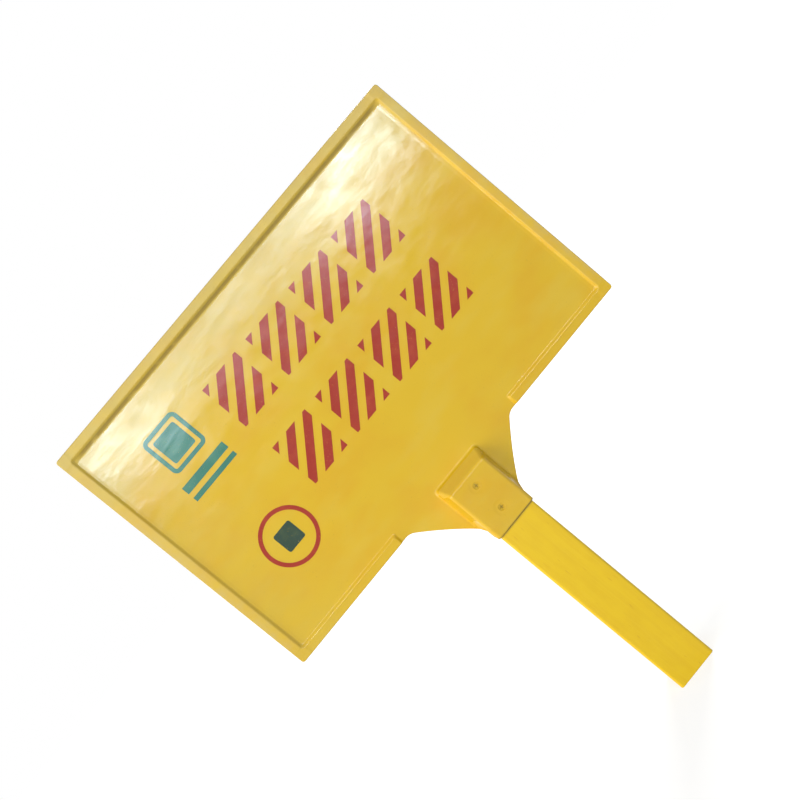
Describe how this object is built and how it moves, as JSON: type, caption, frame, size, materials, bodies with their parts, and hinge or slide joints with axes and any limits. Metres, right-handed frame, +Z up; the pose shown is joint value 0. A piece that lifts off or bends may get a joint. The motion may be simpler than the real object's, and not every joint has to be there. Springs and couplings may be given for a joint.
{
  "type": "warning marker post",
  "caption": "Landscape sign board with a raised rim and a moulded square socket with side webs, fixed by sunk screws on a short square tube post.",
  "frame": {"origin": "centre of the post's foot, on the plane of its cut end", "axes": "+Z up along the post, the printed face looks along -Y, +X to its right"},
  "size_m": [0.5, 0.0566, 0.636],
  "materials": {
    "board_gelcoat": "glossy yellow gelcoat over glass fibre, slightly uneven",
    "post_fibreglass": "satin yellow pultruded glass fibre with faint lengthwise streaks",
    "painted_screw": "steel screw painted yellow with the board",
    "red_film": "glossy printed red",
    "green_film": "glossy printed green",
    "dark_film": "glossy printed dark green"
  },
  "bodies": {
    "root": {"sign_board": "board_gelcoat", "post": "post_fibreglass", "fixing_screws": "painted_screw", "red_print": "red_film", "green_print": "green_film", "dark_print": "dark_film"}
  },
  "joints": []
}
